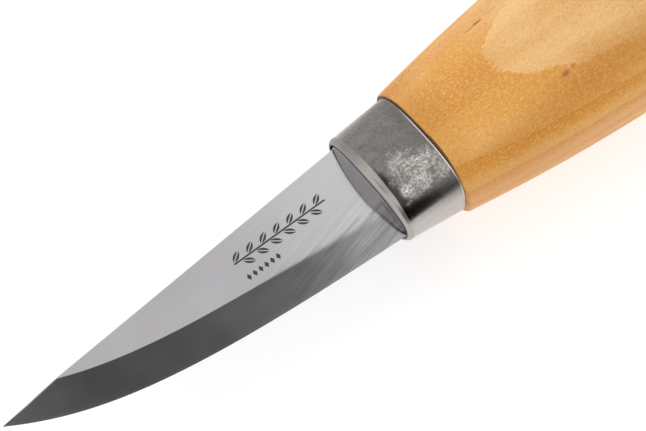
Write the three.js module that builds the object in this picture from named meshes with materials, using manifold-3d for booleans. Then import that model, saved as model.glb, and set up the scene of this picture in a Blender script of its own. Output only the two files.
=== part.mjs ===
// A whittling knife: a bevel-ground steel blade with a stick tang, a steel ferrule with a face
// plate in its mouth, and a barrel-shaped wooden handle with the tang bonded into it.
//
// The knife lies on its side. +X runs from the blade's tip to the butt, +Y from the cutting edge
// to the spine, and +Z is up, across the thickness of the blade. The pieces are built round the
// middle of the ferrule's front face, and the whole knife is then set on the plane Z = 0 with its
// bounding box centred over the origin. Everything is in millimetres.

import * as THREE from "three";
import { mergeVertices } from "three/addons/utils/BufferGeometryUtils.js";
import Module from "manifold-3d";

const wasm = await Module();
wasm.setup();

// Driving dimensions
const BLADE_LENGTH = 60; // from the ferrule's front to the tip
const BLADE_THICKNESS = 2.7;
const SPINE_HEIGHT = 7.9; // of the spine over the knife's axis, at the ferrule
const TIP_HEIGHT = 3.45; // of the tip over the axis: the spine is a straight line to it
const EDGE_DROP = 8.82; // of the cutting edge under the axis, at the ferrule
const EDGE_SHAPE = [[0.586, 0.8], [0.805, 0.463]]; // the curve's two handles, over the length and the drop
const BEVEL_WIDTH = 5.1; // of the ground bevel on each side of the edge
const TANG_LENGTH = 72; // behind the ferrule's front
const TANG_THICKNESS = 2.4;
const TANG_ROOT = 4.3; // half heights of the tang: at its root, at its end, and inside the end's chamfers
const TANG_END = 2.9;
const TANG_TIP = 1.2;
const TANG_NOTCHES = [0.55, 0.75]; // where the pairs of notches are, over the tang's length
const NOTCH_DEPTH = 0.8;

const FERRULE_LENGTH = 9.6;
const FERRULE_WALL = 0.75;
const FERRULE_LIP = 0.7; // radius that the front lip is rolled to
const FERRULE_CROWN = 0.54; // how far the middle of each broad side stands forward of the narrow ends
const FERRULE_FRONT = { a: 9.36, b: 6.2, n: 2.0, y: 0 }; // half height, half thickness, squareness, centre
const FERRULE_BACK = { a: 9.78, b: 6.87, n: 2.6, y: -0.25 };
const PLATE_THICKNESS = 1.5;

const HANDLE_LENGTH = 95.1; // of the wood behind the ferrule
const HANDLE_FRONT = 10.78; // half height at the shoulder, a little proud of the ferrule
const HANDLE_BELLY = 14.94; // half height at the widest point of the barrel
const HANDLE_BELLY_AT = 49; // distance of that point behind the shoulder
const SHOULDER_FLATNESS = 0.69; // thickness over height at the shoulder
const HANDLE_FLATNESS = 0.82; // and from the widest point to the butt
const HANDLE_SQUARENESS = 2.2;
const SHOULDER_RADIUS = 0.6;
const BUTT_ROUNDING = 11; // length over which the butt is rounded off
const BUTT_FLATNESS = 0.8; // 1 is an ellipse, and less is a flatter end with a tighter corner
const BUTT_POLE = 0.05; // size of the flat that closes the butt, over the barrel's

const GLUE_WALL = 1; // of cured adhesive round the tang
const GAP = 0.3; // left between pieces that touch

// Tessellation
const AROUND = 56;
const CROWDING = 0.6; // how much closer together the points are round the narrow ends, 0 for not at all
const EDGE_STEPS = 32;
const BARREL_STEPS = 16;
const BUTT_STEPS = 9;
const CORNER_STEPS = 5;
const BODY_STEPS = 4;
const PLATE_STEPS = 5;

const SHOULDER_AT = FERRULE_LENGTH + GAP;
const HEEL_AT = -GAP;
const BORE_HALF_HEIGHT = TANG_ROOT + GLUE_WALL + 2 * GAP;
const BORE_HALF_THICKNESS = TANG_THICKNESS / 2 + GLUE_WALL + 2 * GAP;
const BORE_END = TANG_LENGTH + GLUE_WALL + 2 * GAP;

// Ovals, and solids lofted through them

// One ring of points at x. Squareness 2 is an ellipse, and more is squarer. crown moves the ring
// forward in proportion to the square of the distance from the blade's plane. The points crowd
// round the tightly curved narrow ends, and they start half a step round, so that each broad side
// has a facet across its middle for the knife to lie on.
function ovalRing(x, { a, b, n = 2, y = 0 }, crown = 0) {
  const rounded = (value) => Math.sign(value) * Math.abs(value) ** (2 / n);
  return Array.from({ length: AROUND }, (_, i) => {
    const even = (2 * Math.PI * (i + 0.5)) / AROUND;
    const angle = even - (CROWDING / 2) * Math.sin(2 * even);
    const side = rounded(Math.sin(angle));
    return new THREE.Vector3(x - crown * side * side, y + a * rounded(Math.cos(angle)), b * side);
  });
}

// The closed surface through rings that turn about the direction they follow each other in. It is
// capped at both ends, or, as a ring of rings, it joins its last one to its first.
function loft(rings, joined = false) {
  const around = rings[0].length;
  const points = rings.flat();
  const faces = [];
  const strips = joined ? rings.length : rings.length - 1;
  for (let k = 0; k < strips; k++) {
    for (let i = 0; i < around; i++) {
      const here = k * around;
      const next = ((k + 1) % rings.length) * around;
      const j = (i + 1) % around;
      faces.push(here + i, here + j, next + i, here + j, next + j, next + i);
    }
  }
  if (!joined) {
    const last = (rings.length - 1) * around;
    for (const ring of [rings[0], rings.at(-1)]) {
      points.push(ring.reduce((sum, p) => sum.add(p), new THREE.Vector3()).divideScalar(around));
    }
    for (let i = 0; i < around; i++) {
      const j = (i + 1) % around;
      faces.push(points.length - 2, j, i, points.length - 1, last + i, last + j);
    }
  }
  return new THREE.BufferGeometry().setFromPoints(points).setIndex(faces);
}

function shrunk(oval, inset) {
  return { ...oval, a: oval.a - inset, b: oval.b - inset };
}

// Solids for cutting and joining

function toSolid(geometry) {
  const bare = geometry.clone();
  bare.deleteAttribute("normal");
  bare.deleteAttribute("uv");
  const merged = mergeVertices(bare, 1e-4);
  const vertProperties = new Float32Array(merged.attributes.position.array);
  const triVerts = new Uint32Array(merged.index.array);
  return new wasm.Manifold(new wasm.Mesh({ numProp: 3, vertProperties, triVerts }));
}

function toGeometry(solid) {
  const { vertProperties, triVerts } = solid.getMesh();
  return new THREE.BufferGeometry()
    .setAttribute("position", new THREE.BufferAttribute(vertProperties, 3))
    .setIndex(new THREE.BufferAttribute(triVerts, 1));
}

// A flat outline in the blade's plane, given thickness equally to both sides.
function slab(outline, thickness) {
  const shape = new THREE.Shape(outline.map(([x, y]) => new THREE.Vector2(x, y)));
  const geometry = new THREE.ExtrudeGeometry(shape, { depth: thickness, bevelEnabled: false });
  return toSolid(geometry.translate(0, 0, -thickness / 2));
}

function block(x0, x1, halfHeight, halfThickness) {
  const geometry = new THREE.BoxGeometry(x1 - x0, 2 * halfHeight, 2 * halfThickness);
  return toSolid(geometry.translate((x0 + x1) / 2, 0, 0));
}

// Blade and tang

// The cutting edge: nearly straight at the heel, then a rising belly to the tip.
function cuttingEdge() {
  const heel = new THREE.Vector2(0, -EDGE_DROP);
  const handles = EDGE_SHAPE.map(([x, y]) => new THREE.Vector2(-x * BLADE_LENGTH, -y * EDGE_DROP));
  const tip = new THREE.Vector2(-BLADE_LENGTH, TIP_HEIGHT);
  return new THREE.CubicBezierCurve(heel, ...handles, tip);
}

// The wedge between the two ground bevels. It is lofted through V sections square to the edge, and
// runs a little past the heel and the tip.
function bevelWedge() {
  const overrun = 2;
  const reach = 20;
  const rise = (reach * BLADE_THICKNESS) / 2 / BEVEL_WIDTH;
  const edge = cuttingEdge();
  const section = (point, along) => {
    const inward = new THREE.Vector2(along.y, -along.x).multiplyScalar(reach).add(point);
    return [
      new THREE.Vector3(point.x, point.y, 0),
      new THREE.Vector3(inward.x, inward.y, rise),
      new THREE.Vector3(inward.x, inward.y, -rise),
    ];
  };
  const ends = [0, 1].map((u) => {
    const along = edge.getTangent(u);
    const past = edge.getPoint(u).addScaledVector(along, u ? overrun : -overrun);
    return section(past, along);
  });
  const middle = Array.from({ length: EDGE_STEPS + 1 }, (_, i) => {
    const u = i / EDGE_STEPS;
    return section(edge.getPoint(u), edge.getTangent(u));
  });
  return toSolid(loft([ends[0], ...middle, ends[1]]));
}

// Flat stock up to the straight spine, from the heel past the tip and below the edge.
function bladeStock() {
  const beyond = 3;
  const spineAt = (x) => SPINE_HEIGHT + ((SPINE_HEIGHT - TIP_HEIGHT) * x) / BLADE_LENGTH;
  const front = -BLADE_LENGTH - beyond;
  const below = -EDGE_DROP - beyond;
  const outline = [[HEEL_AT, spineAt(HEEL_AT)], [front, spineAt(front)], [front, below], [HEEL_AT, below]];
  return slab(outline, BLADE_THICKNESS);
}

// The tang tapers to its end and has pairs of notches that key it into the adhesive. The hollow it
// leaves in the adhesive is grown by the gap, and has no notches.
function tangOutline(grow = 0) {
  const overlap = 1;
  const depth = grow ? 0 : NOTCH_DEPTH;
  const heightAt = (x) => TANG_ROOT + ((TANG_END - TANG_ROOT) * x) / TANG_LENGTH + grow;
  const upper = [[HEEL_AT - overlap + grow, heightAt(0)]];
  for (const x of TANG_NOTCHES.map((share) => share * TANG_LENGTH)) {
    upper.push([x, heightAt(x)]);
    upper.push([x + NOTCH_DEPTH, heightAt(x) - depth]);
    upper.push([x + 3 * NOTCH_DEPTH, heightAt(x)]);
  }
  upper.push([TANG_LENGTH - TANG_END + grow, heightAt(TANG_LENGTH)]);
  upper.push([TANG_LENGTH + grow, TANG_TIP + grow]);
  const lower = upper.map(([x, y]) => [x, -y]).reverse();
  return [...upper, ...lower];
}

function bladeGeometry() {
  const ground = bladeStock().intersect(bevelWedge());
  return toGeometry(ground.add(slab(tangOutline(), TANG_THICKNESS)));
}

// Ferrule and face plate

function ferruleOval(x) {
  const f = x / FERRULE_LENGTH;
  const mix = (key) => THREE.MathUtils.lerp(FERRULE_FRONT[key], FERRULE_BACK[key], f);
  return { a: mix("a"), b: mix("b"), n: mix("n"), y: mix("y") };
}

function ferruleRing(x, inset) {
  return ovalRing(x, shrunk(ferruleOval(x), inset), FERRULE_CROWN * (1 - x / FERRULE_LENGTH));
}

// A drawn tube with a rolled front lip: out along the lip, back along the outside, and forward
// again along the inside.
function ferruleGeometry() {
  const rings = [];
  for (let i = 0; i <= CORNER_STEPS; i++) {
    const angle = (Math.PI / 2) * (1 - i / CORNER_STEPS);
    rings.push(ferruleRing(FERRULE_LIP * (1 - Math.sin(angle)), FERRULE_LIP * (1 - Math.cos(angle))));
  }
  for (let i = 1; i <= BODY_STEPS; i++) {
    rings.push(ferruleRing(THREE.MathUtils.lerp(FERRULE_LIP, FERRULE_LENGTH, i / BODY_STEPS), 0));
  }
  for (const x of [FERRULE_LENGTH, PLATE_THICKNESS, 0]) {
    rings.push(ferruleRing(x, FERRULE_WALL));
  }
  return loft(rings, true);
}

// An oval plate that fills the ferrule's mouth, with a slot for the tang.
function facePlateGeometry() {
  const rim = shrunk(ferruleOval(0), FERRULE_WALL + GAP);
  const scaled = (size) => ({ ...rim, a: rim.a * size, b: rim.b * size });
  const sizes = Array.from({ length: PLATE_STEPS }, (_, i) => (i + 1) / PLATE_STEPS);
  const front = sizes.map((size) => ovalRing(0, scaled(size), FERRULE_CROWN * size * size));
  const back = sizes.map((size) => ovalRing(PLATE_THICKNESS, scaled(size))).reverse();
  const plate = toSolid(loft([...front, ...back]));
  const slot = block(-PLATE_THICKNESS, 2 * PLATE_THICKNESS, TANG_ROOT + GAP, TANG_THICKNESS / 2 + GAP);
  return toGeometry(plate.subtract(slot));
}

// Handle and adhesive

// Half height of the barrel at a distance behind the shoulder.
function barrelHeight(distance) {
  const offset = (distance - HANDLE_BELLY_AT) / HANDLE_BELLY_AT;
  return HANDLE_BELLY - (HANDLE_BELLY - HANDLE_FRONT) * offset * offset;
}

// Its thickness over its height there: the barrel gets flatter towards the ferrule.
function barrelFlatness(distance) {
  const offset = Math.max(HANDLE_BELLY_AT - distance, 0) / HANDLE_BELLY_AT;
  return THREE.MathUtils.lerp(HANDLE_FLATNESS, SHOULDER_FLATNESS, offset * offset);
}

function handleRing(distance, inset) {
  const a = barrelHeight(distance) - inset;
  const b = barrelFlatness(distance) * a;
  return ovalRing(SHOULDER_AT + distance, { a, b, n: HANDLE_SQUARENESS, y: FERRULE_BACK.y });
}

// The tenon inside the ferrule, the rounded shoulder behind it, the barrel and the domed butt, with
// a blind bore for the tang.
function handleGeometry() {
  const tenon = (x) => ovalRing(x, shrunk(ferruleOval(x), FERRULE_WALL + GAP));
  const rings = [tenon(PLATE_THICKNESS + GAP), tenon(SHOULDER_AT)];
  for (let i = 0; i <= CORNER_STEPS; i++) {
    const angle = (Math.PI / 2) * (i / CORNER_STEPS);
    rings.push(handleRing(SHOULDER_RADIUS * (1 - Math.cos(angle)), SHOULDER_RADIUS * (1 - Math.sin(angle))));
  }
  const straight = HANDLE_LENGTH - BUTT_ROUNDING;
  for (let i = 1; i <= BARREL_STEPS; i++) {
    rings.push(handleRing(THREE.MathUtils.lerp(SHOULDER_RADIUS, straight, i / BARREL_STEPS), 0));
  }
  for (let i = 1; i <= BUTT_STEPS; i++) {
    const angle = (Math.PI / 2) * (i / BUTT_STEPS);
    const distance = straight + BUTT_ROUNDING * Math.sin(angle) ** BUTT_FLATNESS;
    const size = Math.max(Math.cos(angle) ** BUTT_FLATNESS, BUTT_POLE);
    rings.push(handleRing(distance, barrelHeight(distance) * (1 - size)));
  }
  const bore = block(PLATE_THICKNESS, BORE_END, BORE_HALF_HEIGHT, BORE_HALF_THICKNESS);
  return toGeometry(toSolid(loft(rings)).subtract(bore));
}

// The cured adhesive fills the bore round the tang and behind its end.
function adhesiveGeometry() {
  const start = PLATE_THICKNESS + 2 * GAP;
  const filling = block(start, BORE_END - GAP, BORE_HALF_HEIGHT - GAP, BORE_HALF_THICKNESS - GAP);
  return toGeometry(filling.subtract(slab(tangOutline(GAP), TANG_THICKNESS + 2 * GAP)));
}

// The assembly

function piece(name, geometry, color, roughness, metalness) {
  const flat = geometry.index ? geometry.toNonIndexed() : geometry;
  flat.computeVertexNormals();
  const mesh = new THREE.Mesh(flat, new THREE.MeshStandardMaterial({ color, roughness, metalness }));
  mesh.name = name;
  return mesh;
}

const pieces = new THREE.Group();
pieces.add(
  piece("blade", bladeGeometry(), 0xb4b4b6, 0.3, 1),
  piece("ferrule", ferruleGeometry(), 0x8c8b8c, 0.4, 1),
  piece("ferrule_face_plate", facePlateGeometry(), 0x848287, 0.5, 1),
  piece("handle", handleGeometry(), 0xe0a35a, 0.45, 0),
  piece("tang_adhesive", adhesiveGeometry(), 0xc9b68a, 0.6, 0),
);

const extent = new THREE.Box3().setFromObject(pieces);
const centre = extent.getCenter(new THREE.Vector3());
pieces.position.set(-centre.x, -centre.y, -extent.min.z);

const knife = new THREE.Group();
knife.add(pieces);

export default knife;
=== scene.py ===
"""The looks of a whittling knife: a satin blade with ground bevels, a drawn steel ferrule with a face
plate in its mouth, and a handle of oiled birch.

The knife lies on its side. Each visible piece is built in the knife's own frame, in millimetres: the
origin is the middle of the ferrule's front face, +X runs to the butt, +Y to the spine and +Z up,
across the thickness of the blade.
"""

import math

import bpy
from mathutils import Matrix, Vector, noise


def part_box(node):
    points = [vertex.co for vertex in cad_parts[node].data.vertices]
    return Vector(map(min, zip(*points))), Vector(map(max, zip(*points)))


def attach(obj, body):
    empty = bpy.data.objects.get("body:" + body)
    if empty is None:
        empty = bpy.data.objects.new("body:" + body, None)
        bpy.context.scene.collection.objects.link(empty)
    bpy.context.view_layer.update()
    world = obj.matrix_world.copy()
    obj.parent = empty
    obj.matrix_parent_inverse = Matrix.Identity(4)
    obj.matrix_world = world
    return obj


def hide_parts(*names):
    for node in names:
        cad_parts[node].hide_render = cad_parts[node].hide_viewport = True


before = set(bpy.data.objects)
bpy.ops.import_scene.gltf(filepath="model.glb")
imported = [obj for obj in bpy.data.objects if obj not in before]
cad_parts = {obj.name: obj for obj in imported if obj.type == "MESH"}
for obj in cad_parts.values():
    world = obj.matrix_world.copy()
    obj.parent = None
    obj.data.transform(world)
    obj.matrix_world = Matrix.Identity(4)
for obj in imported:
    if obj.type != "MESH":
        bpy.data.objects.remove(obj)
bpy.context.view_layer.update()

MM = 0.001

# The CAD model's dimensions that the visible shapes repeat.
BLADE_LENGTH = 60.0
BLADE_HALF_THICKNESS = 1.35
SPINE_HEIGHT = 7.9
TIP_HEIGHT = 3.45
EDGE_DROP = 8.82
EDGE_SHAPE = ((0.586, 0.8), (0.805, 0.463))
BEVEL_WIDTH = 5.1
TANG_LENGTH = 72.0
TANG_HALF_THICKNESS = 1.2
TANG_ROOT = 4.2
TANG_END = 2.9
TANG_TIP = 1.2
TANG_NOTCHES = (0.55, 0.75)
NOTCH_DEPTH = 0.8
FERRULE_LENGTH = 9.6
FERRULE_WALL = 0.74
FERRULE_CROWN = 0.54
FERRULE_FRONT = {"a": 9.36, "b": 6.2, "n": 2.0, "y": 0.0}
FERRULE_BACK = {"a": 9.77, "b": 6.86, "n": 2.6, "y": -0.25}
PLATE_THICKNESS = 1.5
HANDLE_START = 9.65
HANDLE_LENGTH = 95.1
HANDLE_FRONT = 10.71
HANDLE_BELLY = 14.87
HANDLE_BELLY_AT = 49.0
SHOULDER_FLATNESS = 0.69
HANDLE_FLATNESS = 0.82
HANDLE_SQUARENESS = 2.2
SHOULDER_RADIUS = 0.45
BUTT_ROUNDING = 11.0
BUTT_FLATNESS = 0.8
BORE_HALF_HEIGHT = 5.9
BORE_HALF_THICKNESS = 2.8
BORE_END = 73.6

# Where the knife's own frame lies in the model: the ferrule's box gives it.
ferrule_low, ferrule_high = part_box("ferrule")
ORIGIN = Vector((
    ferrule_high.x - FERRULE_LENGTH * MM,
    (ferrule_low.y + ferrule_high.y) / 2 - FERRULE_BACK["y"] * MM,
    (ferrule_low.z + ferrule_high.z) / 2,
))


# ---------------------------------------------------------------- mesh tools

def mix(low, high, t):
    return low + (high - low) * t


def oval_point(oval, angle):
    """The point of an oval at an angle from +Y towards +Z. n = 2 is an ellipse, and more is squarer."""
    def rounded(value):
        return math.copysign(abs(value) ** (2 / oval["n"]), value)
    return oval["y"] + oval["a"] * rounded(math.cos(angle)), oval["b"] * rounded(math.sin(angle))


def shrunk(oval, inset):
    return {**oval, "a": oval["a"] - inset, "b": oval["b"] - inset}


def oval_ring(x, oval, count, crown=0.0):
    """A ring of points in the plane x, its broad sides moved forward by crown."""
    ring = []
    for i in range(count):
        y, z = oval_point(oval, 2 * math.pi * i / count)
        ring.append(Vector((x - crown * (z / oval["b"]) ** 2, y, z)))
    return ring


def box_ring(x, half_height, half_thickness, count):
    """A ring of points round a rectangle, each at the same angle as in an oval ring."""
    ring = []
    for i in range(count):
        angle = 2 * math.pi * i / count
        y, z = math.cos(angle), math.sin(angle)
        reach = max(abs(y) / half_height, abs(z) / half_thickness)
        ring.append(Vector((x, y / reach, z / reach)))
    return ring


def loft(name, rings, joined=False):
    """A closed mesh through rings that turn about the direction they follow each other in.

    Each end is closed by a fan to its middle point, or, as a ring of rings, the last joins the first.
    """
    count = len(rings[0])
    verts = [p * MM for ring in rings for p in ring]
    faces = []
    strips = len(rings) if joined else len(rings) - 1
    for k in range(strips):
        here, there = k * count, (k + 1) % len(rings) * count
        for i in range(count):
            j = (i + 1) % count
            faces.append((here + i, here + j, there + j, there + i))
    if not joined:
        for ring, start, turn in ((rings[0], 0, -1), (rings[-1], (len(rings) - 1) * count, 1)):
            middle = sum(ring, Vector()) / count * MM
            verts.append(middle)
            for i in range(count):
                pair = (start + i, start + (i + 1) % count)
                faces.append((len(verts) - 1,) + pair[::turn])
    mesh = bpy.data.meshes.new(name)
    mesh.from_pydata(verts, [], faces)
    return mesh


def add_piece(mesh, materials, replaced, crease_degrees=30):
    """Puts a finished mesh in the model's frame in place of a CAD node."""
    mesh.polygons.foreach_set("use_smooth", [True] * len(mesh.polygons))
    mesh.set_sharp_from_angle(angle=math.radians(crease_degrees))
    for material in materials:
        mesh.materials.append(material)
    piece = bpy.data.objects.new(mesh.name, mesh)
    bpy.context.scene.collection.objects.link(piece)
    piece.location = ORIGIN
    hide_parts(replaced)
    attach(piece, "root")
    return piece


# ---------------------------------------------------------------- blade and tang

BEVEL_ROWS = 6
KNEE_ROWS = 8
FLAT_ROWS = 6
BLADE_STATIONS = 150
MICRO_BEVEL = 0.2       # width of the honed strip along the edge
MICRO_EXTRA = 0.008     # how much thicker the blade is there than the plain bevel would be
SPINE_CHAMFER = 0.2
HEEL_AT = -0.03         # the heel meets the crowned face plate
KNEE_CRISP = 0.06       # half width of the rounding between bevel and flat, near the tip
KNEE_SOFT = 1.9         # and at the heel
KNEE_FADE = 26.0        # length over which the one turns into the other
STATION_CROWDING = 1.25  # the blade's stations lie closer together to the tip
LAST_STATION = 0.9985   # just short of the tip, where the section would have no height


def knee_rounding(x):
    """Half width of the rounding between bevel and flat: crisp to the tip, and polished soft at the heel."""
    return mix(KNEE_CRISP, KNEE_SOFT, min(max((x + KNEE_FADE) / KNEE_FADE, 0), 1) ** 1.5)


def cutting_edge(u):
    """Point of the cutting edge and its slope there, from the heel at u = 0 to the tip at u = 1."""
    points = [Vector((0.0, -EDGE_DROP))]
    points += [Vector((-x * BLADE_LENGTH, -y * EDGE_DROP)) for x, y in EDGE_SHAPE]
    points += [Vector((-BLADE_LENGTH, TIP_HEIGHT))]
    v = 1 - u
    weights = (v ** 3, 3 * v * v * u, 3 * v * u * u, u ** 3)
    speeds = (-v * v, v * v - 2 * v * u, 2 * v * u - u * u, u * u)
    point = sum((p * w for p, w in zip(points, weights)), Vector((0, 0)))
    along = sum((p * w for p, w in zip(points, speeds)), Vector((0, 0)))
    return point, along.y / along.x


def blade_section(u):
    """One side of a cross-section, from next to the cutting edge up to the spine.

    Returns the edge's own point, and the side as a list of (x, y, half thickness, rise). The rise is
    the distance from the edge, square to it.
    """
    point, slope = cutting_edge(u)
    stretch = math.sqrt(1 + slope * slope)
    x = HEEL_AT + point.x * (BLADE_LENGTH + HEEL_AT) / BLADE_LENGTH
    spine = mix(SPINE_HEIGHT, TIP_HEIGHT, -x / BLADE_LENGTH)
    taper = BLADE_HALF_THICKNESS / BEVEL_WIDTH
    rounding = knee_rounding(x)

    def half_thickness(rise):
        full = min(BLADE_HALF_THICKNESS, rise * taper)
        past = rise - (BEVEL_WIDTH - rounding)
        if 0 < past < 2 * rounding:
            full = taper * (BEVEL_WIDTH - rounding + past - past * past / (4 * rounding))
        if rise < BEVEL_WIDTH:
            full += MICRO_EXTRA * (1 - rise / BEVEL_WIDTH) * min(rise / MICRO_BEVEL, 1)
        return full

    height = (spine - point.y) / stretch
    top = height - min(SPINE_CHAMFER, 0.3 * half_thickness(height), 0.2 * height)
    micro = min(MICRO_BEVEL, 0.2 * height)
    knee_start = min(BEVEL_WIDTH - rounding, mix(micro, top, 0.9))
    knee_end = min(BEVEL_WIDTH + rounding, mix(knee_start, top, 0.5))
    rises = [mix(micro, knee_start, i / BEVEL_ROWS) for i in range(BEVEL_ROWS)]
    rises += [mix(knee_start, knee_end, i / KNEE_ROWS) for i in range(KNEE_ROWS)]
    rises += [mix(knee_end, top, i / FLAT_ROWS) for i in range(FLAT_ROWS + 1)]
    side = [(x, point.y + rise * stretch, half_thickness(rise), rise) for rise in rises]
    side.append((x, spine, half_thickness(height) - (height - top), height))
    return (x, point.y, 0.0, 0.0), side


def two_sided(bottom, side):
    """The ring of a section, as (x, y, z, rise): the edge's point, up one side, and down the other."""
    return [bottom] + side + [(x, y, -z, rise) for x, y, z, rise in reversed(side)]


def tang_ring(x, half_height, heel_side):
    """The tang's bar at x, with a point for each point of the blade's heel section."""
    top = heel_side[-1][1]
    shrink = half_height / TANG_ROOT
    side = []
    for _, y, z, _ in heel_side:
        if y < -TANG_ROOT:
            z = TANG_HALF_THICKNESS * (y + EDGE_DROP) / (EDGE_DROP - TANG_ROOT)
        elif y > TANG_ROOT:
            z = TANG_HALF_THICKNESS * mix(1, 0.3, (y - TANG_ROOT) / (top - TANG_ROOT))
        else:
            z = TANG_HALF_THICKNESS
        side.append((x, min(max(y, -TANG_ROOT), TANG_ROOT) * shrink, z, 0.0))
    return two_sided((x, -half_height, 0.0, 0.0), side)


def tang_stations():
    """(x, half height) along the tang: a straight taper with two notches, then a chamfered end."""
    def height(x):
        return mix(TANG_ROOT, TANG_END, x / TANG_LENGTH)
    stations = [(i * 6.0, height(i * 6.0)) for i in range(6)]
    for x in (share * TANG_LENGTH for share in TANG_NOTCHES):
        stations += [(x, height(x)), (x + NOTCH_DEPTH, height(x) - NOTCH_DEPTH)]
        stations += [(x + 3 * NOTCH_DEPTH, height(x + 3 * NOTCH_DEPTH))]
    stations += [(TANG_LENGTH - TANG_END, height(TANG_LENGTH)), (TANG_LENGTH, TANG_TIP)]
    return stations


def blade_mesh():
    """Blade and tang in one closed skin, from the end of the tang to the tip.

    Material 0 is the blade and 1 the tang. The attribute "rise" tells the blade's material how far
    over the cutting edge it is, in millimetres.
    """
    sections = []
    for i in range(BLADE_STATIONS):
        u = 1 - (1 - i / (BLADE_STATIONS - 1)) ** STATION_CROWDING
        sections.append(blade_section(min(u, LAST_STATION)))
    heel_side = sections[0][1]
    rings = [tang_ring(x, height, heel_side) for x, height in reversed(tang_stations())]
    rings.append(tang_ring(HEEL_AT, TANG_ROOT, heel_side))
    heel_starts = len(rings) * len(rings[0])
    rings += [two_sided(bottom, side) for bottom, side in sections]
    mesh = loft("blade_and_tang", [[Vector(p[:3]) for p in ring] for ring in rings])
    rises = [p[3] for ring in rings for p in ring]
    rises += [0.0] * (len(mesh.vertices) - len(rises))
    mesh.attributes.new("rise", "FLOAT", "POINT").data.foreach_set("value", rises)
    for face in mesh.polygons:
        face.material_index = 0 if min(face.vertices) >= heel_starts else 1
    return mesh


# ---------------------------------------------------------------- ferrule and face plate

FERRULE_AROUND = 320
LIP_RADIUS = 0.64       # of the rolled front lip, outside
MOUTH_RADIUS = 0.1      # and inside
BACK_RADIUS = 0.12      # of the back edge, outside
GROOVE_AT = 1.25        # a shallow groove that the rolling left behind the lip
GROOVE_WIDTH = 0.9
GROOVE_DEPTH = 0.05
BODY_STEPS = 64         # rings along the outside between the lip and the back edge
PEEL_DEPTH = 0.022      # of the dimpled skin on the broad sides
PEEL_GRAINS = ((1.1, 1.0), (2.3, 0.6), (4.6, 0.35))  # dimples per millimetre, and their share
PLATE_GAP = 0.23        # between the plate's rim and the ferrule's wall
PLATE_EDGE = 0.26       # radius of the plate's rounded rim


def ferrule_oval(x):
    return {key: mix(FERRULE_FRONT[key], FERRULE_BACK[key], x / FERRULE_LENGTH) for key in FERRULE_FRONT}


def ferrule_ring(x, inset, peel=0.0):
    """A ring of the ferrule's skin. peel scales the dimples of its broad sides."""
    oval = shrunk(ferrule_oval(x), inset)
    ring = oval_ring(x, oval, FERRULE_AROUND, FERRULE_CROWN * (1 - x / FERRULE_LENGTH))
    if not peel:
        return ring
    dimpled = []
    for p in ring:
        broad = min(max(abs(p.z) / oval["b"] - 0.45, 0) / 0.4, 1)
        grain = sum(share * noise.noise(p * per_mm) for per_mm, share in PEEL_GRAINS)
        sink = 1 - PEEL_DEPTH * peel * broad * (0.5 + 0.5 * min(max(grain, -1), 1)) / oval["b"]
        dimpled.append(Vector((p.x, oval["y"] + (p.y - oval["y"]) * sink, p.z * sink)))
    return dimpled


def ferrule_mesh():
    """Out round the lip, back along the outside, round the back edge and forward along the inside."""
    quarter = [math.pi / 2 * i / 10 for i in range(11)]
    rings = []
    for angle in quarter[::3]:
        rings.append(ferrule_ring(
            MOUTH_RADIUS * (1 - math.sin(angle)),
            FERRULE_WALL - MOUTH_RADIUS * (1 - math.cos(angle)),
        ))
    for angle in quarter:
        rings.append(ferrule_ring(
            LIP_RADIUS * (1 - math.cos(angle)),
            LIP_RADIUS * (1 - math.sin(angle)),
            peel=0.3 * math.sin(angle) ** 4,
        ))
    for i in range(1, BODY_STEPS):
        f = i / BODY_STEPS
        x = mix(LIP_RADIUS, FERRULE_LENGTH - BACK_RADIUS, f)
        groove = GROOVE_DEPTH * math.exp(-(2.4 * (x - GROOVE_AT) / GROOVE_WIDTH) ** 2)
        rings.append(ferrule_ring(x, groove, peel=min(0.3 + 6 * f, 1, 14 * (1 - f))))
    for angle in quarter[::2]:
        rings.append(ferrule_ring(
            FERRULE_LENGTH - BACK_RADIUS * (1 - math.sin(angle)),
            BACK_RADIUS * (1 - math.cos(angle)),
        ))
    for x in (FERRULE_LENGTH, 6.0, 3.0):
        rings.append(ferrule_ring(x, FERRULE_WALL))
    return loft("ferrule_shell", rings, joined=True)


def face_plate_mesh():
    """An oval plate, crowned with the ferrule's mouth, with a slot for the tang."""
    rim = shrunk(ferrule_oval(0), FERRULE_WALL + PLATE_GAP)
    slot = box_ring(0, TANG_ROOT + 0.15, TANG_HALF_THICKNESS + 0.12, FERRULE_AROUND)

    def ring(t, depth, inset=0.0):
        """t runs from the slot at 0 to the rim at 1. depth is measured from the crowned front."""
        points = []
        for inner, outer in zip(slot, oval_ring(0, shrunk(rim, inset), FERRULE_AROUND)):
            p = inner.lerp(outer, t)
            points.append(Vector((depth - FERRULE_CROWN * (p.z / rim["b"]) ** 2, p.y, p.z)))
        return points

    def back(t):
        return [Vector((PLATE_THICKNESS, p.y, p.z)) for p in ring(t, 0)]

    rings = [ring(t, 0, PLATE_EDGE) for t in (0, 0.12, 0.25, 0.4, 0.55, 0.7, 0.85, 0.95, 1)]
    for i in range(1, 9):
        angle = math.pi / 2 * i / 8
        rings.append(ring(1, PLATE_EDGE * (1 - math.cos(angle)), PLATE_EDGE * (1 - math.sin(angle))))
    rings += [back(1), back(0.5), back(0)]
    return loft("face_plate", rings, joined=True)


# ---------------------------------------------------------------- handle

HANDLE_AROUND = 192
BARREL_STATIONS = 170
BUTT_STATIONS = 28
HAND_SHAPING = 0.05     # how far the sanded surface wanders from the true barrel


def barrel_height(distance):
    """Half height of the barrel at a distance behind the shoulder."""
    offset = (distance - HANDLE_BELLY_AT) / HANDLE_BELLY_AT
    return HANDLE_BELLY - (HANDLE_BELLY - HANDLE_FRONT) * offset * offset


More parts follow.
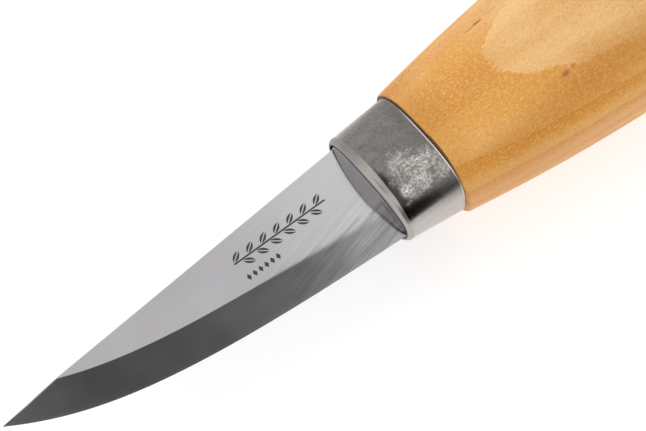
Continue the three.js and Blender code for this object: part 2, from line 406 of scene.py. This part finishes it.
def barrel_flatness(distance):
    """Its thickness over its height there: the barrel gets flatter towards the ferrule."""
    offset = max(HANDLE_BELLY_AT - distance, 0) / HANDLE_BELLY_AT
    return mix(HANDLE_FLATNESS, SHOULDER_FLATNESS, offset * offset)


def handle_ring(distance, scale=1.0, inset=0.0):
    a = barrel_height(distance) * scale - inset
    b = barrel_flatness(distance) * a
    oval = {"a": a, "b": b, "n": HANDLE_SQUARENESS, "y": FERRULE_BACK["y"]}
    ring = []
    for p in oval_ring(HANDLE_START + distance, oval, HANDLE_AROUND):
        wander = 0.5 + 0.5 * noise.noise(Vector((p.x * 0.045, p.y * 0.12, p.z * 0.12)))
        sink = 1 - HAND_SHAPING * min(max(wander, 0), 1) / HANDLE_BELLY
        ring.append(Vector((p.x, oval["y"] + (p.y - oval["y"]) * sink, p.z * sink)))
    return ring


def handle_mesh():
    """From the end of the bore out to its mouth, back over the tenon to the shoulder, and to the butt."""
    tenon_inset = FERRULE_WALL + 0.06
    tenon_front = PLATE_THICKNESS + 0.2

    def bore(x):
        return box_ring(x, BORE_HALF_HEIGHT, BORE_HALF_THICKNESS, HANDLE_AROUND)

    def tenon(x, inset=tenon_inset):
        return oval_ring(x, shrunk(ferrule_oval(x), inset), HANDLE_AROUND)

    bore_steps = 12
    rings = [bore(mix(BORE_END, tenon_front, i / bore_steps)) for i in range(bore_steps + 1)]
    rings += [tenon(tenon_front, tenon_inset + 0.3), tenon(tenon_front + 0.3)]
    rings += [tenon(mix(tenon_front + 0.3, HANDLE_START, i / 6)) for i in range(1, 7)]
    for i in range(8):
        angle = math.pi / 2 * i / 7
        inset = SHOULDER_RADIUS * (1 - math.sin(angle))
        rings.append(handle_ring(SHOULDER_RADIUS * (1 - math.cos(angle)), inset=inset))
    straight = HANDLE_LENGTH - BUTT_ROUNDING
    for i in range(1, BARREL_STATIONS + 1):
        rings.append(handle_ring(mix(SHOULDER_RADIUS, straight, i / BARREL_STATIONS)))
    for i in range(1, BUTT_STATIONS):
        angle = math.pi / 2 * i / BUTT_STATIONS
        distance = straight + BUTT_ROUNDING * math.sin(angle) ** BUTT_FLATNESS
        rings.append(handle_ring(distance, math.cos(angle) ** BUTT_FLATNESS))
    return loft("birch_handle", rings)


# ---------------------------------------------------------------- material tools

FAR = 1e6  # a half axis so long that the place along it doesn't count


class Surface:
    """A Principled material, and short names for the nodes that feed it.

    Lengths are in millimetres. A value given as another node's output is linked, and any other value
    is set.
    """

    def __init__(self, name, **settings):
        self.material = bpy.data.materials.new(name)
        self.material.use_nodes = True
        self.tree = self.material.node_tree
        self.shader = self.tree.nodes["Principled BSDF"]
        for socket, value in settings.items():
            self.put(socket.replace("_", " "), value)
        place = self.node("ShaderNodeTexCoord").outputs["Object"]
        self.place = self.vector("SCALE", place, Scale=1 / MM)
        self.x, self.y, self.z = self.node("ShaderNodeSeparateXYZ", Vector=self.place).outputs

    def put(self, socket, value):
        self.connect(self.shader.inputs[socket], value)

    def connect(self, socket, value):
        if isinstance(value, bpy.types.NodeSocket):
            self.tree.links.new(value, socket)
        else:
            socket.default_value = value

    def node(self, kind, settings=None, **inputs):
        new = self.tree.nodes.new(kind)
        for key, value in (settings or {}).items():
            setattr(new, key, value)
        for key, value in inputs.items():
            self.connect(new.inputs[key.replace("_", " ")], value)
        return new

    def math(self, operation, *values):
        new = self.node("ShaderNodeMath", {"operation": operation})
        for socket, value in zip(new.inputs, values):
            self.connect(socket, value)
        return new.outputs[0]

    def vector(self, operation, *values, **inputs):
        new = self.node("ShaderNodeVectorMath", {"operation": operation}, **inputs)
        for socket, value in zip(new.inputs, values):
            self.connect(socket, value)
        return new.outputs[0]

    def turned(self, degrees):
        """The place turned about +Z, so that its X runs along a direction in the blade's plane."""
        turn = {"rotation_type": "Z_AXIS"}
        angle = math.radians(-degrees)
        return self.node("ShaderNodeVectorRotate", turn, Vector=self.place, Angle=angle).outputs[0]

    def noise(self, per_mm, place=None, detail=2.0, roughness=0.5, shift=0.0):
        """Noise with its own number of features per millimetre along each axis."""
        stretched = self.vector("MULTIPLY_ADD", place or self.place, per_mm, (shift, shift, shift))
        new = self.node("ShaderNodeTexNoise", Vector=stretched, Scale=1.0, Detail=detail, Roughness=roughness)
        return new.outputs[0]

    def oval(self, middle, reach):
        """Distance from a middle, counted so that it is 1 on the oval with these half axes."""
        place = self.vector("DIVIDE", self.vector("SUBTRACT", self.place, middle), reach)
        return self.node("ShaderNodeVectorMath", {"operation": "LENGTH"}, Vector=place).outputs["Value"]

    def step(self, value, low, high, start=0.0, end=1.0):
        """Eases from start to end while a value goes from low to high."""
        new = self.node("ShaderNodeMapRange", {"interpolation_type": "SMOOTHSTEP"}, Value=value)
        for key, number in (("From Min", low), ("From Max", high), ("To Min", start), ("To Max", end)):
            new.inputs[key].default_value = number
        return new.outputs[0]

    def blend(self, factor, low, high, kind="MIX"):
        new = self.node("ShaderNodeMix", {"data_type": "RGBA", "blend_type": kind})
        self.connect(new.inputs[0], factor)
        self.connect(new.inputs[6], low)
        self.connect(new.inputs[7], high)
        return new.outputs[2]

    def float_mix(self, factor, low, high):
        return self.node("ShaderNodeMix", {"data_type": "FLOAT"}, Factor=factor, A=low, B=high).outputs[0]

    def ramp(self, factor, stops):
        new = self.node("ShaderNodeValToRGB", Fac=factor)
        elements = new.color_ramp.elements
        while len(elements) < len(stops):
            elements.new(0.5)
        for element, (position, color) in zip(elements, stops):
            element.position = position
            element.color = color
        return new.outputs[0]

    def bump(self, height, depth):
        """Adds relief of a depth in millimetres to what the shader already has."""
        new = self.node("ShaderNodeBump", Height=height, Distance=depth * MM)
        links = self.shader.inputs["Normal"].links
        if links:
            self.tree.links.new(links[0].from_socket, new.inputs["Normal"])
        self.put("Normal", new.outputs[0])


def grey(level, warmth=0.0, green=0.0):
    """A linear grey. Warmth moves it from blue to red, and green raises its green, as shares of it."""
    return (level * (1 + warmth), level * (1 + green), level * (1 - warmth), 1)


def color(red, green, blue):
    """A colour given as it looks on a screen, 0 to 255."""
    def linear(value):
        value /= 255
        return value / 12.92 if value <= 0.04045 else ((value + 0.055) / 1.055) ** 2.4
    return (linear(red), linear(green), linear(blue), 1)


# ---------------------------------------------------------------- steel

GRIND_ANGLE = 13.5      # degrees from +X towards the spine, of the grinding lines
# Middle and half axes of the brighter patch painted on the ferrule's broad side as a highlight.
PAINTED_HIGHLIGHT_MIDDLE = (5.4, -4.2, 6.0)
PAINTED_HIGHLIGHT_REACH = (4.6, 3.6, 7.0)
MOUTH_INSET = 0.62      # the painted shade of the lip's inner rim and the mouth starts this far inside the front oval
BACK_GLINT = 0.3        # width of the painted glint along the ferrule's back edge


def etched_twig(s):
    """1 inside a small engraved twig on the upper flat: a stem with leaves on alternate sides, and a
    row of dots under it."""
    start, middle, pitch, pairs = -21.9, 2.25, 2.33, 7
    leaf_length, leaf_width, leaf_out, lean = 1.04, 0.46, 0.8, math.radians(38)
    y = s.math("SUBTRACT", s.y, middle)
    height = s.math("ABSOLUTE", y)
    along = s.math("DIVIDE", s.math("SUBTRACT", s.x, start), pitch)
    below = s.math("LESS_THAN", y, 0.0)
    shifted = s.math("MULTIPLY_ADD", below, 0.5, along)
    a = s.math("MULTIPLY_ADD", s.math("FRACT", shifted), pitch, -0.5 * pitch)
    b = s.math("SUBTRACT", height, leaf_out)
    u = s.math("MULTIPLY_ADD", a, math.cos(lean), s.math("MULTIPLY", b, math.sin(lean)))
    v = s.math("MULTIPLY_ADD", a, -math.sin(lean), s.math("MULTIPLY", b, math.cos(lean)))
    u = s.math("DIVIDE", u, leaf_length)
    v = s.math("DIVIDE", s.math("ABSOLUTE", v), leaf_width)
    leaf = s.math("SUBTRACT", s.math("SUBTRACT", 1.0, s.math("MULTIPLY", u, u)), v)
    vein = s.math("SUBTRACT", v, 0.12)
    leaf = s.step(s.math("MINIMUM", leaf, vein), 0.0, 0.12)
    whole = s.math("MULTIPLY", s.math("GREATER_THAN", shifted, below),
                   s.math("LESS_THAN", shifted, float(pairs)))
    leaf = s.math("MULTIPLY", leaf, whole)
    stem = s.step(height, 0.15, 0.11)
    stem = s.math("MULTIPLY", stem, s.step(along, 0.1, 0.13))
    stem = s.math("MULTIPLY", stem, s.step(along, pairs - 0.1, pairs - 0.13))
    twig = s.math("MAXIMUM", leaf, stem)

    dot_start, dots_in_row, dot_pitch, dot_y = -21.6, 6, 1.0, -0.55
    place = s.math("DIVIDE", s.math("SUBTRACT", s.x, dot_start), dot_pitch)
    from_dot = s.math("SUBTRACT", s.math("FRACT", place), 0.5)
    across = s.math("MULTIPLY", s.math("ABSOLUTE", from_dot), dot_pitch)
    up = s.math("ABSOLUTE", s.math("SUBTRACT", s.y, dot_y))
    dots = s.step(s.math("MULTIPLY_ADD", up, 0.62, across), 0.36, 0.32)
    dots = s.math("MULTIPLY", dots, s.math("GREATER_THAN", place, 0.0))
    dots = s.math("MULTIPLY", dots, s.math("LESS_THAN", place, float(dots_in_row)))
    both = s.math("MAXIMUM", twig, dots)
    return s.math("MULTIPLY", both, s.math("GREATER_THAN", s.z, BLADE_HALF_THICKNESS - 0.05))


def blade_steel():
    """Ground steel, almost a mirror. The grinding lines are faint to the tip and coarse at the heel,
    where they run out of the bevels into the flats. The steel is also painted lighter towards the heel, a
    painted reflection."""
    s = Surface("ground_blade_steel", Metallic=1.0)
    rise = s.node("ShaderNodeAttribute", {"attribute_name": "rise"}).outputs["Fac"]
    turned = s.turned(GRIND_ANGLE)
    fine = s.noise((0.05, 5.0, 1.0), turned, detail=3, roughness=0.6)
    coarse = s.noise((0.06, 2.0, 1.0), turned, detail=4, roughness=0.62, shift=7.0)
    cloud = s.noise((0.09, 0.13, 0.1), detail=2)
    speck = s.noise((2.2, 2.2, 2.2), detail=2, roughness=0.6)
    near = s.step(s.x, -24.0, -2.0)

    ragged = s.math("MULTIPLY_ADD", s.math("SUBTRACT", coarse, 0.5), s.math("MULTIPLY", near, 9.0), rise)
    on_bevel = s.step(ragged, BEVEL_WIDTH + 0.1, BEVEL_WIDTH - 0.1)
    scored = s.math("MULTIPLY", near, s.step(rise, 10.0, 5.5))
    lines = s.math("MULTIPLY_ADD", coarse, 0.6, s.math("MULTIPLY", fine, 0.4))
    streak = s.math("SUBTRACT", lines, 0.5)
    # Painted reflection: the flats, and a little the bevels, are painted lighter towards the heel.
    flat = s.math("MULTIPLY_ADD", near, 0.1, 0.45)
    flat = s.math("MULTIPLY_ADD", streak, s.math("MULTIPLY_ADD", scored, 0.45, 0.07), flat)
    bevel = s.math("MULTIPLY_ADD", near, 0.04, 0.44)
    bevel = s.math("MULTIPLY_ADD", streak, s.math("MULTIPLY_ADD", near, 1.1, 0.06), bevel)
    tone = s.float_mix(on_bevel, flat, bevel)
    tone = s.math("ADD", tone, s.math("MULTIPLY_ADD", cloud, 0.08, -0.04))
    tone = s.math("ADD", tone, s.math("MULTIPLY_ADD", speck, 0.04, -0.02))
    mark = etched_twig(s)
    steel = s.blend(tone, grey(0.0), grey(1.0, green=-0.025))
    s.put("Base Color", s.blend(mark, steel, grey(0.075, 0.02)))
    rough = s.math("MULTIPLY_ADD", cloud, 0.08, s.math("MULTIPLY_ADD", on_bevel, 0.04, 0.1))
    s.put("Roughness", s.math("MULTIPLY_ADD", mark, 0.35, rough))
    s.bump(s.math("MULTIPLY", lines, s.math("MULTIPLY_ADD", scored, 1.0, 0.12)), 0.004)
    s.bump(s.math("SUBTRACT", 1.0, mark), 0.01)
    return s.material


def tang_steel():
    """Forged scale, never polished."""
    s = Surface("scaled_tang_steel", Metallic=0.85)
    scale = s.noise((0.8, 0.8, 0.8), detail=5, roughness=0.62)
    patch = s.noise((0.12, 0.2, 0.2), detail=2, shift=5.0)
    dark = s.blend(patch, color(58, 56, 58), color(92, 86, 84))
    s.put("Base Color", s.blend(s.step(scale, 0.45, 0.75), dark, color(128, 112, 100)))
    s.put("Roughness", s.step(scale, 0.3, 0.7, 0.42, 0.75))
    s.bump(scale, 0.02)
    return s.material


def ferrule_steel():
    """Deep-drawn steel: dull and mottled on the broad sides, with a brighter patch there that is a painted
    highlight, a painted dark reflection behind the lip, painted shade inside the mouth, a lip painted lighter
    towards the edge side, brighter narrow ends, and a painted glint along the back edge."""
    s = Surface("drawn_ferrule_steel", Metallic=1.0)
    height = s.math("ABSOLUTE", s.z)
    broad = s.step(height, 1.5, 4.6)
    mottle = s.noise((0.5, 0.5, 0.5), detail=4, roughness=0.62)
    peel = s.noise((2.8, 2.8, 2.8), detail=3, roughness=0.65, shift=2.0)
    drawn = s.noise((0.15, 3.0, 3.0), detail=2, shift=9.0)
    loose = s.math("SUBTRACT", mottle, 0.5)

    # Painted highlight: a brighter mottled patch on the broad side, with coarser grain in it.
    painted_highlight = s.oval(PAINTED_HIGHLIGHT_MIDDLE, PAINTED_HIGHLIGHT_REACH)
    painted_highlight = s.step(s.math("MULTIPLY_ADD", loose, 2.6, painted_highlight), 1.15, 0.4)
    grain = s.math("MULTIPLY", s.math("SUBTRACT", peel, 0.5), s.math("MULTIPLY_ADD", painted_highlight, 1.5, 0.22))
    dull = s.math("MULTIPLY_ADD", loose, 0.18, s.math("MULTIPLY_ADD", painted_highlight, 0.3, 0.2))
    dull = s.math("ADD", dull, grain)
    smooth = s.math("MULTIPLY_ADD", s.math("SUBTRACT", drawn, 0.5), 0.16, 0.48)
    tone = s.float_mix(broad, smooth, dull)

    # Painted reflection: a dark band behind the lip, reaching further back towards the edge side.
    low = s.step(s.y, 1.5, -7.0)
    reach = s.math("MULTIPLY_ADD", low, 1.1, s.math("MULTIPLY_ADD", loose, 3.0, 1.2))
    painted_dark_reflection = s.math("MULTIPLY", s.step(s.x, 0.8, 0.98), s.math("SUBTRACT", 1.0, s.math("DIVIDE", s.x, reach)))
    painted_dark_reflection = s.math("MULTIPLY", s.step(painted_dark_reflection, 0.0, 0.45), s.step(s.y, 3.0, -2.0, 0.1, 0.95))
    tone = s.float_mix(s.math("MULTIPLY", painted_dark_reflection, broad), tone, 0.05)
    # The rolled lip has its own tone, painted lighter towards the edge side as a highlight.
    lip = s.math("MULTIPLY_ADD", s.step(s.y, 4.0, -1.0), 0.16, s.math("MULTIPLY_ADD", loose, 0.12, 0.25))
    on_lip = s.step(s.x, 0.95, 0.75)
    tone = s.float_mix(on_lip, tone, lip)
    # Painted shade: the inner rim of the lip and the inside of the mouth are darkened.
    mouth = shrunk(FERRULE_FRONT, MOUTH_INSET)
    inside = s.step(s.oval((0.0, 0.0, 0.0), (FAR, mouth["a"], mouth["b"])), 1.03, 1.01)
    tone = s.float_mix(s.math("MULTIPLY", inside, s.step(s.x, 2.2, 1.8)), tone, 0.02)
    # Painted highlight: a bright glint along the back edge, weaker towards the spine and at the edge-side
    # end.
    edge = s.step(s.x, FERRULE_LENGTH - BACK_GLINT, FERRULE_LENGTH - 0.6 * BACK_GLINT)
    edge = s.math("MULTIPLY", edge, s.step(s.y, 5.5, 1.0, 0.1, 1.0))
    edge = s.math("MULTIPLY", edge, s.step(s.y, -8.5, -6.5, 0.5, 1.0))
    tone = s.float_mix(edge, tone, 0.95)
    s.put("Base Color", s.blend(tone, grey(0.0), grey(1.0, 0.06)))
    rough = s.math("MULTIPLY_ADD", mottle, 0.12, s.step(s.x, 2.0, 9.0, 0.12, 0.28))
    rough = s.math("MULTIPLY", rough, s.step(height, 3.8, 5.8, 0.9, 1.6))
    s.put("Roughness", s.float_mix(on_lip, rough, 0.34))
    s.bump(s.math("MULTIPLY", peel, s.math("MULTIPLY", broad, s.step(s.x, 0.8, 1.6))), 0.024)
    s.bump(drawn, 0.0015)
    return s.material


def plate_steel():
    """Blanked sheet: even grey with a fine grain, and painted shade on its rounded rim, where it turns back
    into the gap.
    """
    s = Surface("face_plate_steel", Metallic=1.0)
    grain = s.noise((3.0, 3.0, 3.0), detail=3, roughness=0.6)
    cloud = s.noise((0.35, 0.35, 0.35), detail=2, shift=4.0)
    tone = s.math("MULTIPLY_ADD", s.math("SUBTRACT", cloud, 0.5), 0.08, 0.4)
    tone = s.math("ADD", tone, s.math("MULTIPLY", s.math("SUBTRACT", grain, 0.5), 0.06))
    # Painted shade: the rim darkens where it turns back from the crowned front into the gap.
    half_thickness = FERRULE_FRONT["b"] - FERRULE_WALL - PLATE_GAP
    out = s.math("DIVIDE", s.z, half_thickness)
    depth = s.math("MULTIPLY_ADD", s.math("MULTIPLY", out, out), FERRULE_CROWN, s.x)
    tone = s.float_mix(s.step(depth, 0.015, 0.05), tone, 0.02)
    s.put("Base Color", s.blend(tone, grey(0.0), grey(1.0, green=-0.02)))
    s.put("Roughness", s.math("MULTIPLY_ADD", grain, 0.12, 0.34))
    s.bump(grain, 0.004)
    return s.material


# ---------------------------------------------------------------- wood and adhesive

RING_EDGE = 8.35        # the growth ring whose arch shows on the upper side
RING_SPACING = 2.6
WOOD = color(240, 171, 78)
WOOD_EARLY = color(253, 204, 136)
WOOD_LATE = color(230, 154, 56)
RING_TONES = (
    (0.0, WOOD_EARLY),
    (0.3, WOOD_EARLY),
    (0.65, WOOD),
    (0.985, WOOD_LATE),
    (1.0, WOOD_EARLY),
)
RING_TILT = -0.049      # the level falls by this for each millimetre to the butt, so the rings rise
RING_BOW = 1 / 120      # how much they arch across the handle, with a lean to one side
RING_LEAN = 0.035
TURN_AT = 27.0          # from here the rings run flatter, over a length
TURN_LENGTH = 24.0
TURN_SLOPE = 0.021

# Dark marks on the upper side: (x, y, half length, half width, colour, amount).
WOOD_MARKS = (
    (26.0, 7.7, 0.9, 0.24, color(122, 72, 26), 0.75),
    (24.6, 7.5, 0.9, 0.14, color(146, 90, 36), 0.55),
    (28.2, 8.0, 1.7, 0.12, color(156, 100, 44), 0.3),
    (29.9, -6.95, 0.75, 0.42, color(172, 104, 66), 0.75),
    (31.4, -6.7, 0.5, 0.3, color(180, 108, 80), 0.6),
)


def ring_level(s):
    """What is the same all along one growth ring, in millimetres: the height, tilted to the butt and
    arched across the handle. The rings get ragged away from the ferrule."""
    warp = s.noise((0.05, 0.16, 0.16), detail=3, roughness=0.55)
    ripple = s.noise((0.3, 0.5, 0.5), shift=3.0)
    ragged = s.math("SUBTRACT", s.noise((0.7, 2.2, 2.2), detail=3, roughness=0.6, shift=17.0), 0.5)
    bow = s.math("MULTIPLY", s.y, s.math("MULTIPLY_ADD", s.y, RING_BOW, RING_LEAN))
    past_turn = s.math("MAXIMUM", s.math("SUBTRACT", s.x, TURN_AT), 0.0)
    turn = s.math("MULTIPLY", s.math("MINIMUM", past_turn, TURN_LENGTH), TURN_SLOPE)
    level = s.math("ADD", s.z, s.math("MULTIPLY_ADD", s.x, RING_TILT, bow))
    level = s.math("ADD", level, turn)
    level = s.math("ADD", level, s.math("MULTIPLY_ADD", warp, 0.3, -0.15))
    level = s.math("ADD", level, s.math("MULTIPLY_ADD", ripple, 0.07, -0.035))
    return s.math("MULTIPLY_ADD", ragged, s.step(s.x, 16.0, 40.0, 0.08, 0.9), level)


def birch():
    """Oiled birch sawn flat: arched growth rings on the broad sides and straight ones on the narrow."""
    s = Surface("oiled_birch", Metallic=0.0, Specular_IOR_Level=0.35, Coat_Weight=0.06, Coat_Roughness=0.4)
    level = ring_level(s)
    count = s.math("DIVIDE", s.math("SUBTRACT", level, RING_EDGE), RING_SPACING)
    rings = s.ramp(s.math("FRACT", count), RING_TONES)
    above = s.step(level, RING_EDGE - 0.02, RING_EDGE + 0.03)
    strength = s.math("MULTIPLY_ADD", above, 0.5, s.step(s.z, 7.0, 2.0, 0.4, 0.75))
    tone = s.blend(strength, WOOD, rings)
    inner = s.step(s.math("MULTIPLY_ADD", s.y, 0.8, s.x), 22.0, 42.0, 0.0, 0.75)
    inner = s.math("MULTIPLY", inner, s.math("MULTIPLY", s.step(s.z, 5.0, 8.5), s.step(s.x, 60.0, 44.0)))
    tone = s.blend(inner, tone, color(252, 208, 146))

    cloud = s.noise((0.035, 0.14, 0.14), detail=3, roughness=0.5, shift=11.0)
    tone = s.blend(s.step(cloud, 0.4, 0.72, 0.0, 0.55), tone, color(222, 148, 60))
    dash = s.noise((2.0, 6.0, 6.0), detail=2, roughness=0.6, shift=5.0)
    tone = s.blend(s.step(dash, 0.54, 0.68, 0.0, 0.34), tone, color(200, 126, 48))
    tone = s.blend(s.step(dash, 0.48, 0.34, 0.0, 0.6), tone, color(255, 212, 146))
    fibre = s.noise((0.25, 7.0, 7.0), detail=2, shift=1.0)
    tone = s.blend(s.step(fibre, 0.5, 0.75, 0.0, 0.18), tone, color(190, 122, 52))

    for x, y, length, width, shade, amount in WOOD_MARKS:
        spot = s.oval((x, y, 0.0), (length, width, FAR))
        spot = s.math("ADD", spot, s.math("MULTIPLY_ADD", dash, 1.2, -0.6))
        spot = s.math("MULTIPLY", s.step(spot, 1.2, 0.4, 0.0, amount), s.math("GREATER_THAN", s.z, 0.0))
        tone = s.blend(spot, tone, shade)

    side = s.math("MULTIPLY", s.step(s.y, -5.5, -9.0, 0.0, 0.5), s.step(s.z, -6.0, 3.0, 0.3, 1.0))
    deep = s.math("MAXIMUM", s.step(s.x, 17.0, 10.0, 0.0, 0.45), side)
    tone = s.blend(deep, tone, color(220, 200, 128), kind="MULTIPLY")
    # Painted reflection: the low flank on the edge side is paled, a sheen of the floor's light at a grazing
    # angle.
    painted_flank_sheen = s.math("MULTIPLY", s.step(s.z, 5.2, 1.5, 0.0, 0.55), s.step(s.y, -8.0, -10.0))
    painted_flank_sheen = s.math("MULTIPLY", painted_flank_sheen, s.step(s.z, -7.0, 1.5, 0.2, 1.0))
    tone = s.blend(painted_flank_sheen, tone, color(226, 168, 112))
    # Painted shade: a dark line on the wood's shoulder next to the ferrule, the shade of the crevice between
    # them.
    painted_shoulder_shade = s.math("MULTIPLY_ADD", s.math("SUBTRACT", cloud, 0.5), 0.6, s.x)
    painted_shoulder_shade = s.step(painted_shoulder_shade, HANDLE_START + 0.32, HANDLE_START + 0.1, 0.0, 0.9)
    painted_shoulder_shade = s.math("MULTIPLY", painted_shoulder_shade, s.step(s.y, -9.6, -6.0, 0.15, 1.0))
    tone = s.blend(painted_shoulder_shade, tone, color(46, 28, 12))
    s.put("Base Color", tone)
    s.put("Roughness", s.math("MULTIPLY_ADD", dash, 0.16, 0.42))
    s.bump(dash, 0.007)
    s.bump(fibre, 0.006)
    return s.material


def cured_adhesive():
    """Amber epoxy, a little cloudy, with small bubbles."""
    s = Surface("cured_adhesive", Metallic=0.0, IOR=1.52)
    cloud = s.noise((0.25, 0.25, 0.25), detail=3)
    bubbles = s.node("ShaderNodeTexVoronoi", Vector=s.place, Scale=0.9).outputs["Distance"]
    s.put("Base Color", s.blend(cloud, color(206, 176, 118), color(180, 140, 78)))
    s.put("Roughness", s.step(bubbles, 0.08, 0.2, 0.35, 0.24))
    s.bump(s.step(bubbles, 0.05, 0.14), 0.05)
    return s.material


# ---------------------------------------------------------------- the knife

add_piece(blade_mesh(), [blade_steel(), tang_steel()], "blade", crease_degrees=4)
add_piece(ferrule_mesh(), [ferrule_steel()], "ferrule", crease_degrees=50)
add_piece(face_plate_mesh(), [plate_steel()], "ferrule_face_plate", crease_degrees=50)
add_piece(handle_mesh(), [birch()], "handle", crease_degrees=50)

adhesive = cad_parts["tang_adhesive"]
adhesive.data.materials.clear()
adhesive.data.materials.append(cured_adhesive())


# ---------------------------------------------------------------- studio

FLOOR_HALF_WIDTH = 1.5  # metres


def add_floor():
    """A white table that glows a little, so that it is as bright as the tent around it."""
    half = FLOOR_HALF_WIDTH
    mesh = bpy.data.meshes.new("studio_floor")
    corners = [(-half, -half, 0), (half, -half, 0), (half, half, 0), (-half, half, 0)]
    mesh.from_pydata([Vector(c) for c in corners], [], [(0, 1, 2, 3)])
    s = Surface("light_table", Roughness=0.9, Specular_IOR_Level=0.1, Emission_Strength=0.64)
    fibres = s.noise((0.4, 0.4, 0.4), detail=3)
    s.put("Base Color", s.blend(fibres, grey(0.5), grey(0.53)))
    s.put("Emission Color", grey(1.0))
    mesh.materials.append(s.material)
    floor = bpy.data.objects.new("studio_floor", mesh)
    bpy.context.scene.collection.objects.link(floor)


# Directions from the knife in which the tent isn't plain white, each as the way to the middle, the
# angles in degrees where its level is full and where it has faded out, and the level. The later ones
# lie over the earlier.
TENT_PATCHES = (
    ((0.05, -0.45, 0.89), 16, 34, 1.15),
    ((-0.18, -0.04, 0.98), 7, 14, 0.16),
    ((0.03, -0.10, 0.99), 8.5, 14, 0.08),
    ((0.02, -0.91, 0.40), 15, 33, 0.02),
)


def light_tent():
    """A white tent all round, with a brighter panel, a dark slot overhead and a dark opening low down."""
    world = bpy.data.worlds.new("light_tent")
    bpy.context.scene.world = world
    world.use_nodes = True
    tree = world.node_tree
    tree.nodes.clear()

    def linked(kind, settings, values):
        node = tree.nodes.new(kind)
        for key, value in settings.items():
            setattr(node, key, value)
        for socket, value in values.items():
            if isinstance(value, bpy.types.NodeSocket):
                tree.links.new(value, node.inputs[socket])
            else:
                node.inputs[socket].default_value = value
        return node

    direction = linked("ShaderNodeTexCoord", {}, {}).outputs["Generated"]
    level = 1.0
    for middle, full, faded, patch_level in TENT_PATCHES:
        toward = {0: direction, 1: Vector(middle).normalized()}
        toward = linked("ShaderNodeVectorMath", {"operation": "DOT_PRODUCT"}, toward).outputs["Value"]
        angle = linked("ShaderNodeMath", {"operation": "ARCCOSINE"}, {0: toward}).outputs[0]
        edge = {"Value": angle, "From Min": math.radians(full), "From Max": math.radians(faded)}
        away = linked("ShaderNodeMapRange", {"interpolation_type": "SMOOTHSTEP"}, edge).outputs[0]
        blend = {"Factor": away, "A": patch_level, "B": level}
        level = linked("ShaderNodeMix", {"data_type": "FLOAT"}, blend).outputs[0]
    background = linked("ShaderNodeBackground", {}, {"Color": level, "Strength": 1.0})
    output = tree.nodes.new("ShaderNodeOutputWorld")
    tree.links.new(background.outputs[0], output.inputs[0])


# The camera stands over the blade, leaning towards the tip and the edge, and is turned so that the
# knife rises to the right. It looks at a point of the ferrule's mouth.
CAMERA_DISTANCE = 300.0
FOCAL_LENGTH = 119.1
SENSOR_WIDTH = 36.0
CAMERA_TARGET = Vector((-6.90, 1.49, -1.14))
CAMERA_RIGHT = Vector((0.78940, -0.61113, -0.05800))
CAMERA_UP = Vector((0.57113, 0.69651, 0.43438))


def add_camera():
    camera_data = bpy.data.cameras.new("camera")
    camera_data.lens = FOCAL_LENGTH
    camera_data.sensor_width = SENSOR_WIDTH
    camera_data.clip_start = 0.01
    camera = bpy.data.objects.new("camera", camera_data)
    bpy.context.scene.collection.objects.link(camera)
    back = CAMERA_RIGHT.cross(CAMERA_UP).normalized()
    right = CAMERA_UP.cross(back).normalized()
    turn = Matrix((right, back.cross(right), back)).transposed().to_4x4()
    place = ORIGIN + (CAMERA_TARGET + back * CAMERA_DISTANCE) * MM
    camera.matrix_world = Matrix.Translation(place) @ turn
    bpy.context.scene.camera = camera


add_floor()
light_tent()
add_camera()
bpy.context.scene.view_settings.view_transform = "Standard"
